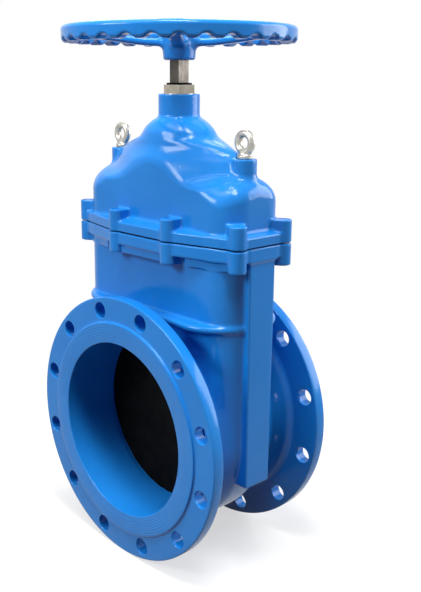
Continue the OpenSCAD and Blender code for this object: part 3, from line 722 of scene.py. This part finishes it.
def socket_screw(name, x, y, material):
    """A socket-head screw sunk in a lug, its hexagon open upwards."""
    head_r = 9
    head_h = 12
    socket_r = 5.8
    socket_depth = 6
    soft = 1
    middle = 0.3 * soft
    sides = 48
    foot = LUG_TOP - HEAD_HOLE_DEPTH
    top = foot + head_h
    bm = bmesh.new()

    def ring(r, z, six=False):
        points = []
        for i in range(sides):
            turn = 2 * math.pi * i / sides
            reach = r
            if six:
                reach = r * math.cos(math.pi / 6) / math.cos((turn % (math.pi / 3)) - math.pi / 6)
            points.append(bm.verts.new((reach * math.cos(turn), reach * math.sin(turn), z)))
        return points

    rings = [ring(head_r, foot), ring(head_r, top - soft), ring(head_r - middle, top - middle),
             ring(head_r - soft, top), ring(socket_r + soft, top), ring(socket_r, top - soft / 2, True),
             ring(socket_r, top - socket_depth, True)]
    for a, b in zip(rings, rings[1:]):
        for i in range(sides):
            bm.faces.new((a[i], a[(i + 1) % sides], b[(i + 1) % sides], b[i]))
    bm.faces.new(rings[-1])
    bm.faces.new(rings[0][::-1])
    bmesh.ops.recalc_face_normals(bm, faces=bm.faces)
    return link(name, settled(bm, name, x, y), "valve", "zinc", material)


def seal_cap(name, x, y, material):
    """A slightly crowned plug that seals a sunk screw, just below its lug's face."""
    gap = 0.2
    crown = 0.8
    thickness = 2.4
    tip = 1e-3
    steps = 6
    sides = 40
    top = LUG_TOP - gap
    outer = HEAD_HOLE_R - gap
    outline = [(tip, top - thickness), (outer, top - thickness)]
    for i in range(steps + 1):
        share = i / steps
        outline.append((outer * (1 - share) + tip * share, top - crown * (1 - share) ** 2))
    return link(name, settled(lathe(outline, sides), name, x, y), "valve", "blue_epoxy", material)


class Finish:
    """A node material with a Principled shader and a few short calls to build its detail."""

    def __init__(self, name, **constants):
        self.material = bpy.data.materials.new(name)
        self.material.use_nodes = True
        self.tree = self.material.node_tree
        self.shader = self.tree.nodes["Principled BSDF"]
        for socket, value in constants.items():
            self.shader.inputs[socket.replace("_", " ")].default_value = value
        self.place = self.tree.nodes.new("ShaderNodeTexCoord").outputs["Object"]

    def node(self, kind, **settings):
        made = self.tree.nodes.new("ShaderNode" + kind)
        for key, value in settings.items():
            setattr(made, key, value)
        return made

    def join(self, out, into):
        self.tree.links.new(out, into)

    def paint(self, socket, out):
        """Drives one of the shader's inputs."""
        self.join(out, self.shader.inputs[socket])

    def stretched(self, scale):
        """The place, scaled along each axis, for streaks."""
        mapping = self.node("Mapping")
        mapping.inputs["Scale"].default_value = scale
        self.join(self.place, mapping.inputs["Vector"])
        return mapping.outputs["Vector"]

    def noise(self, scale, detail=3, roughness=0.5, place=None):
        made = self.node("TexNoise")
        made.inputs["Scale"].default_value = scale
        made.inputs["Detail"].default_value = detail
        made.inputs["Roughness"].default_value = roughness
        self.join(place or self.place, made.inputs["Vector"])
        return made.outputs["Fac"]

    def ramp(self, fac, low, high, first=0.3, last=0.7):
        """From one grey or colour to another, between two values of a factor."""
        made = self.node("ValToRGB")
        stops = ((first, low), (last, high))
        for element, (spot, colour) in zip(made.color_ramp.elements, stops):
            element.position = spot
            element.color = (*colour, 1) if isinstance(colour, tuple) else grey(colour)
        self.join(fac, made.inputs["Fac"])
        return made.outputs["Color"]

    def bump(self, height, strength, depth, under=None):
        """A normal from a height, over another normal where there is one."""
        made = self.node("Bump")
        made.inputs["Strength"].default_value = strength
        made.inputs["Distance"].default_value = depth
        self.join(height, made.inputs["Height"])
        if under:
            self.join(under, made.inputs["Normal"])
        return made.outputs["Normal"]

    def rings(self, pitch):
        """Turned grooves about the pipe, at a pitch in metres."""
        split = self.node("SeparateXYZ")
        self.join(self.place, split.inputs[0])
        flat = self.node("CombineXYZ")
        self.join(split.outputs["X"], flat.inputs["X"])
        self.join(split.outputs["Z"], flat.inputs["Y"])
        size = self.node("VectorMath", operation="LENGTH")
        self.join(flat.outputs[0], size.inputs[0])
        turns = self.node("Math", operation="MULTIPLY")
        turns.inputs[1].default_value = 2 * math.pi / pitch
        self.join(size.outputs["Value"], turns.inputs[0])
        wave = self.node("Math", operation="SINE")
        self.join(turns.outputs[0], wave.inputs[0])
        return wave.outputs[0]


def grey(value):
    """An opaque grey."""
    return (value, value, value, 1)


def blue_epoxy(name, turned=False):
    """Fused blue epoxy: glossy, a little uneven in shade, with orange peel over the cast skin."""
    dark = (0.008, 0.185, 0.58)
    light = (0.014, 0.215, 0.65)
    f = Finish(name, Specular_IOR_Level=0.2)
    f.paint("Base Color", f.ramp(f.noise(7, detail=5, roughness=0.6), dark, light))
    f.paint("Roughness", f.ramp(f.noise(35, detail=4), 0.12, 0.22, last=0.75))
    skin = f.bump(f.noise(38, detail=2), strength=0.25, depth=0.0012)
    peel = f.bump(f.noise(420, detail=2), strength=0.12, depth=0.0004, under=skin)
    if turned:
        peel = f.bump(f.rings(pitch=0.0042), strength=0.35, depth=0.0004, under=peel)
    f.paint("Normal", peel)
    return f.material


def black_rubber():
    """Moulded rubber, nearly without shine."""
    f = Finish("black_rubber", Specular_IOR_Level=0.03)
    f.paint("Base Color", f.ramp(f.noise(60, detail=4), 0.002, 0.005))
    f.paint("Roughness", f.ramp(f.noise(140), 0.42, 0.6))
    f.paint("Normal", f.bump(f.noise(700), strength=0.2, depth=0.0003))
    return f.material


def turned_metal(name, dark, light, roughness):
    """Metal turned about the stem, with fine grooves and patchy tarnish."""
    f = Finish(name, Metallic=1.0)
    f.paint("Base Color", f.ramp(f.noise(55, detail=5, roughness=0.65), dark, light, last=0.72))
    f.paint("Roughness", f.ramp(f.noise(90, detail=4), *roughness))
    grooves = f.noise(500, place=f.stretched((0.15, 0.15, 4)))
    f.paint("Normal", f.bump(grooves, strength=0.15, depth=0.0002))
    return f.material


def drawn_metal(name, dark, light, roughness):
    """Metal with streaks along the stem."""
    f = Finish(name, Metallic=1.0)
    streaks = f.noise(420, detail=4, place=f.stretched((1, 1, 0.05)))
    f.paint("Base Color", f.ramp(f.noise(40, detail=5, roughness=0.65), dark, light))
    f.paint("Roughness", f.ramp(streaks, *roughness))
    f.paint("Normal", f.bump(streaks, strength=0.15, depth=0.0003))
    return f.material


def plated_metal(name, dark, light, roughness):
    """Bright plate over a forged or rolled skin."""
    f = Finish(name, Metallic=0.85)
    f.paint("Base Color", f.ramp(f.noise(110, detail=5, roughness=0.6), dark, light))
    f.paint("Roughness", f.ramp(f.noise(200, detail=4), *roughness))
    f.paint("Normal", f.bump(f.noise(260, detail=4), strength=0.2, depth=0.0004))
    return f.material


def plain_skin(name, dark, light, roughness, grain):
    """Cast iron or plastic with a fine grain."""
    f = Finish(name)
    f.paint("Base Color", f.ramp(f.noise(70, detail=5), dark, light))
    f.paint("Roughness", f.ramp(f.noise(150), *roughness))
    f.paint("Normal", f.bump(f.noise(grain, detail=4), strength=0.25, depth=0.0005))
    return f.material


def finish_node(node, material, soften=0.0):
    """A CAD node keeps its shape, takes a material and, where said, softened edges."""
    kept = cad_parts[node]
    kept.data.materials.clear()
    kept.data.materials.append(material)
    if soften:
        weld = kept.modifiers.new("weld", "WELD")
        weld.merge_threshold = WELD_REACH * MM
        bevel = kept.modifiers.new("soften", "BEVEL")
        bevel.width = soften * MM
        bevel.segments = 2
        bevel.limit_method = "ANGLE"
        bevel.angle_limit = BEVEL_ANGLE
        bevel.harden_normals = False


# Materials; metals, iron and nylon state a darker and a lighter colour and a range of roughness
blue = blue_epoxy("blue_epoxy")
blue_face = blue_epoxy("blue_epoxy_turned", turned=True)
rubber = black_rubber()
brass = turned_metal("gland_brass", (0.21, 0.19, 0.155), (0.33, 0.305, 0.26), (0.29, 0.46))
steel = drawn_metal("stem_steel", (0.045, 0.04, 0.036), (0.11, 0.10, 0.09), (0.22, 0.4))
zinc = plated_metal("bright_zinc", (0.34, 0.33, 0.30), (0.54, 0.53, 0.48), (0.24, 0.42))
iron = plain_skin("grey_iron", (0.06, 0.06, 0.065), (0.11, 0.11, 0.12), (0.52, 0.68), grain=500)
nylon = plain_skin("white_nylon", (0.62, 0.61, 0.56), (0.72, 0.71, 0.66), (0.34, 0.5), grain=900)

# Castings
centre = (0, MID_Y, 0)
body_mesh = cast("body_casting", body_field, (-LUG_REACH_X, -FLANGE_BACK - NECK_LAP, -BOWL_LENGTH),
                 (LUG_REACH_X, FLANGE_BACK + NECK_LAP, BODY_TOP), BODY_STEP, centre)
body_casting = link("body_casting", body_mesh, "valve", "blue_epoxy", blue)
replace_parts(body_casting, "body")
pipe_end("inlet_flange", -1, (blue, blue_face))
pipe_end("outlet_flange", 1, (blue, blue_face))

bonnet_mesh = cast("bonnet_casting", bonnet_field, (-LUG_REACH_X, -LUG_REACH_Y, BONNET_FOOT),
                   (LUG_REACH_X, LUG_REACH_Y, BOX_TOP), BONNET_STEP, centre)
bonnet_casting = link("bonnet_casting", bonnet_mesh, "valve", "blue_epoxy", blue)
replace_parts(bonnet_casting, "bonnet")

wheel_mesh = cast("handwheel_casting", wheel_field, (-WHEEL_R, -WHEEL_R, HUB_FOOT),
                  (WHEEL_R, WHEEL_R, RIM_TOP), WHEEL_STEP, centre)
wheel_casting = link("handwheel_casting", wheel_mesh, "spindle", "blue_epoxy", blue)
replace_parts(wheel_casting, "handwheel")

for side, x in (("left", -BOSS_X), ("right", BOSS_X)):
    node = "eyebolt_" + side
    eye_mesh = cast(node + "_forging", eye_field, (-EYE_R, -EYE_COLLAR_R, -EYE_DEPTH),
                    (EYE_R, EYE_COLLAR_R, EYE_RISE + EYE_R), EYE_STEP, (x, MID_Y, BOSS_TOP))
    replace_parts(link(node + "_forging", eye_mesh, "valve", "zinc", zinc), node)

# Joint screws and their caps
corners = [(sx * bx, sy * by) for bx, by in BOLTS for sx in (-1, 1) for sy in (-1, 1)]
for number, (x, y) in enumerate(corners, 1):
    socket_screw("joint_screw_%d" % number, x, y, zinc)
    seal_cap("seal_cap_%d" % number, x, y, blue)

# CAD nodes that stay
finish_node("bonnet_gasket", rubber)
finish_node("stem_wiper", rubber, soften=0.6)
finish_node("wedge_rubber", rubber, soften=1.2)
finish_node("gland_nut", brass, soften=0.5)
finish_node("stem_nut", brass)
finish_node("stem", steel, soften=0.8)
finish_node("wheel_washer", zinc, soften=0.4)
finish_node("wheel_bolt", zinc, soften=0.5)
finish_node("wedge_core", iron)
for node in ("lower_thrust_washer", "upper_thrust_washer", "guide_shoe_left", "guide_shoe_right"):
    finish_node(node, nylon)

# Camera of the photograph: fitted to the flange circles and the body's edges
IMAGE_W, IMAGE_H = 421, 592
FOCAL_PX = 843.118
PRINCIPAL = (178.568, 274.336)
SENSOR_H = 36
VIEW_TURN, VIEW_RISE, VIEW_ROLL = (math.radians(a) for a in (48.0796, 13.0956, 0.1836))
VIEW_DISTANCE = 1462.13
VIEW_TARGET = Vector((0, MID_Y, 250))
back = Vector((math.sin(VIEW_TURN) * math.cos(VIEW_RISE), -math.cos(VIEW_TURN) * math.cos(VIEW_RISE),
               math.sin(VIEW_RISE)))
level = Vector((math.cos(VIEW_TURN), math.sin(VIEW_TURN), 0))
upward = back.cross(level)
right = math.cos(VIEW_ROLL) * level + math.sin(VIEW_ROLL) * upward
upward = -math.sin(VIEW_ROLL) * level + math.cos(VIEW_ROLL) * upward
camera_data = bpy.data.cameras.new("camera")
camera_data.sensor_fit = "VERTICAL"
camera_data.sensor_height = SENSOR_H
camera_data.lens = FOCAL_PX / IMAGE_H * SENSOR_H
camera_data.shift_x = (IMAGE_W / 2 - PRINCIPAL[0]) / IMAGE_H
camera_data.shift_y = (PRINCIPAL[1] - IMAGE_H / 2) / IMAGE_H
camera = bpy.data.objects.new("camera", camera_data)
turn = Matrix((right, upward, back)).transposed().to_4x4()
camera.matrix_world = Matrix.Translation((VIEW_TARGET + VIEW_DISTANCE * back) * MM) @ turn
bpy.context.scene.collection.objects.link(camera)
bpy.context.scene.camera = camera

# Lamps: name, place, width and height in metres, power in watts
LAMP_AIM = Vector((0, MID_Y * MM, 0.2))
LAMPS = [
    ("roof_panel", (-0.25, -1.0, 2.4), 1.4, 0.8, 14),
    ("front_panel", (-0.8, -2.5, 1.7), 1.3, 1.0, 64),
    ("back_panel", (1.4, 2.35, 1.1), 1.9, 1.9, 84),
    ("sky_panel", (-1.7, 1.5, 2.2), 1.4, 1.4, 20),
]
PANES = 3
PANE_START = 0.1
PANE_PITCH = 0.42
LAMPS += [("pane_%d" % (i + 1), (PANE_START + PANE_PITCH * i, -0.35, 2.5), 0.3, 0.9, 24)
          for i in range(PANES)]
for name, place, width, height, power in LAMPS:
    panel = bpy.data.lights.new(name, "AREA")
    panel.shape = "RECTANGLE"
    panel.size = width
    panel.size_y = height
    panel.energy = power
    lamp = bpy.data.objects.new(name, panel)
    lamp.location = place
    lamp.rotation_euler = (LAMP_AIM - Vector(place)).to_track_quat("-Z", "Y").to_euler()
    bpy.context.scene.collection.objects.link(lamp)


def white_stage(tree, out_socket, seen, lit):
    """What the camera, mirrors and glass see, mixed with what lights the object."""
    path = tree.nodes.new("ShaderNodeLightPath")
    ray = path.outputs["Is Camera Ray"]
    for kind in ("Is Glossy Ray", "Is Transmission Ray"):
        either = tree.nodes.new("ShaderNodeMath")
        either.operation = "MAXIMUM"
        tree.links.new(ray, either.inputs[0])
        tree.links.new(path.outputs[kind], either.inputs[1])
        ray = either.outputs[0]
    mix = tree.nodes.new("ShaderNodeMixShader")
    tree.links.new(ray, mix.inputs["Fac"])
    tree.links.new(lit, mix.inputs[1])
    tree.links.new(seen, mix.inputs[2])
    tree.links.new(mix.outputs[0], out_socket)


# World: white where it is seen, a faint blue light elsewhere
WORLD_TINT = (0.86, 0.92, 1.0, 1)
WORLD_LIGHT = 0.06
world = bpy.data.worlds.new("world")
bpy.context.scene.world = world
world.use_nodes = True
tree = world.node_tree
light = tree.nodes["Background"]
light.inputs["Color"].default_value = WORLD_TINT
light.inputs["Strength"].default_value = WORLD_LIGHT
seen = tree.nodes.new("ShaderNodeBackground")
seen.inputs["Color"].default_value = grey(1)
seen.inputs["Strength"].default_value = 1.0
white_stage(tree, tree.nodes["World Output"].inputs["Surface"], seen.outputs[0], light.outputs[0])

# Floor: paper that keeps the shadow near the valve, whiter further out, with little bounce
FLOOR_REACH = 60
FLOOR_Z = -RIM_R * MM
PAPER_GREY = 0.92
PAPER_ROUGHNESS = 0.9
BOUNCE_GREY = 0.12
FADE = {"From Min": 0.4, "From Max": 1.3, "To Min": 0.6, "To Max": 1.0}
floor_mesh = bpy.data.meshes.new("floor")
floor_signs = ((-1, -1), (1, -1), (1, 1), (-1, 1))
floor_corners = [(sx * FLOOR_REACH, sy * FLOOR_REACH, FLOOR_Z) for sx, sy in floor_signs]
floor_mesh.from_pydata(floor_corners, [], [(0, 1, 2, 3)])
floor = bpy.data.objects.new("floor", floor_mesh)
bpy.context.scene.collection.objects.link(floor)
paper = bpy.data.materials.new("paper")
paper.use_nodes = True
tree = paper.node_tree
sheet = tree.nodes["Principled BSDF"]
sheet.inputs["Base Color"].default_value = grey(PAPER_GREY)
sheet.inputs["Roughness"].default_value = PAPER_ROUGHNESS
bounce = tree.nodes.new("ShaderNodeBsdfDiffuse")
bounce.inputs["Color"].default_value = grey(BOUNCE_GREY)
glow = tree.nodes.new("ShaderNodeEmission")
glow.inputs["Strength"].default_value = 1.0
spot = tree.nodes.new("ShaderNodeTexCoord")
away = tree.nodes.new("ShaderNodeVectorMath")
away.operation = "LENGTH"
tree.links.new(spot.outputs["Object"], away.inputs[0])
fade = tree.nodes.new("ShaderNodeMapRange")
fade.interpolation_type = "SMOOTHSTEP"
for socket, value in FADE.items():
    fade.inputs[socket].default_value = value
tree.links.new(away.outputs["Value"], fade.inputs["Value"])
veil = tree.nodes.new("ShaderNodeMixShader")
tree.links.new(fade.outputs["Result"], veil.inputs["Fac"])
tree.links.new(sheet.outputs[0], veil.inputs[1])
tree.links.new(glow.outputs[0], veil.inputs[2])
white_stage(tree, tree.nodes["Material Output"].inputs["Surface"], veil.outputs[0], bounce.outputs[0])
floor_mesh.materials.append(paper)

bpy.context.scene.view_settings.view_transform = "Standard"
